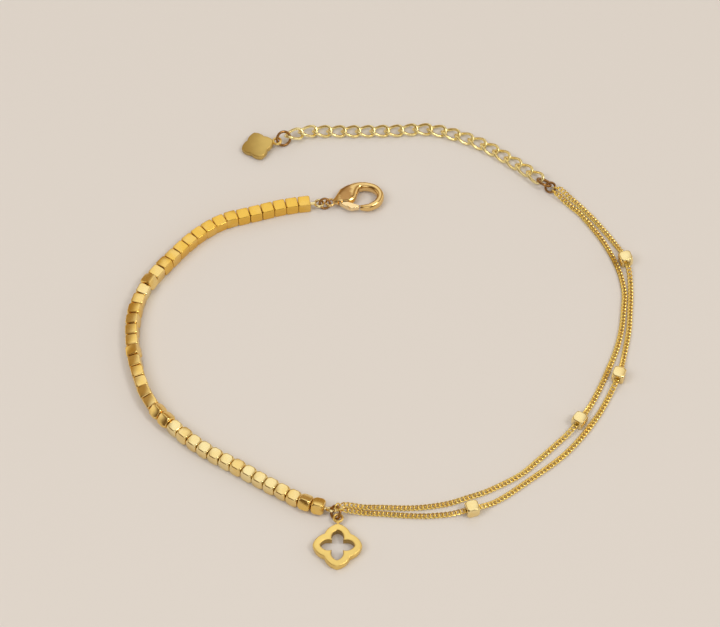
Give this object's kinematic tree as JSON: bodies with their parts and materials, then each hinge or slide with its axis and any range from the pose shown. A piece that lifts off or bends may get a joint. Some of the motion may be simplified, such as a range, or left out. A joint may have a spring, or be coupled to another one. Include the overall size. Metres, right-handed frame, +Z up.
{
  "type": "bracelet",
  "caption": "Fine gold-coloured bracelet laid open: a string of small cube beads, twin fine chains, a pierced four-lobed pendant, a lobster clasp and an extender chain with a tag.",
  "frame": {"origin": "on the surface the bracelet lies on, under the middle of its laid outline", "axes": "+Z up from the surface, +Y towards the extender chain, +X towards the twin fine chains"},
  "size_m": [0.0804, 0.0866, 0.0024],
  "materials": {
    "bead_gold": "polished yellow gold plating",
    "chain_gold": "bright fine chain, yellow gold plating",
    "link_gold": "polished wire, yellow gold plating",
    "ring_gold": "polished wire, yellow gold plating",
    "clasp_gold": "polished casting, yellow gold plating",
    "lever_gold": "polished lever, yellow gold plating",
    "plate_gold": "satin plate, yellow gold plating"
  },
  "bodies": {
    "bracelet": {"bead_string_front": "bead_gold", "bead_string_back": "bead_gold", "outer_bead_1": "bead_gold", "outer_bead_2": "bead_gold", "outer_bead_3": "bead_gold", "inner_bead_1": "bead_gold", "outer_strand": "chain_gold", "inner_strand": "chain_gold", "pendant_ring": "ring_gold", "clasp_ring": "ring_gold", "strand_ring": "ring_gold", "end_ring": "ring_gold", "tag_ring": "ring_gold", "clasp_body": "clasp_gold", "pendant": "plate_gold", "end_tag": "plate_gold", "extender_link_01": "link_gold", "extender_link_02": "link_gold", "extender_link_03": "link_gold", "extender_link_04": "link_gold", "extender_link_05": "link_gold", "extender_link_06": "link_gold", "extender_link_07": "link_gold", "extender_link_08": "link_gold", "extender_link_09": "link_gold", "extender_link_10": "link_gold", "extender_link_11": "link_gold", "extender_link_12": "link_gold", "extender_link_13": "link_gold", "extender_link_14": "link_gold", "extender_link_15": "link_gold", "extender_link_16": "link_gold", "extender_link_17": "link_gold", "extender_link_18": "link_gold", "extender_link_19": "link_gold"},
    "clasp_lever": {"clasp_lever": "lever_gold"}
  },
  "joints": [
    {"name": "clasp_lever_hinge", "type": "hinge", "parent": "bracelet", "child": "clasp_lever", "pos_m": [-0.00643, 0.02613, 0.00101], "axis": [0, 0, 1], "range_deg": [0, 25], "stiffness_Nm_per_rad": 0.000001, "springref_deg": -14.32}
  ]
}
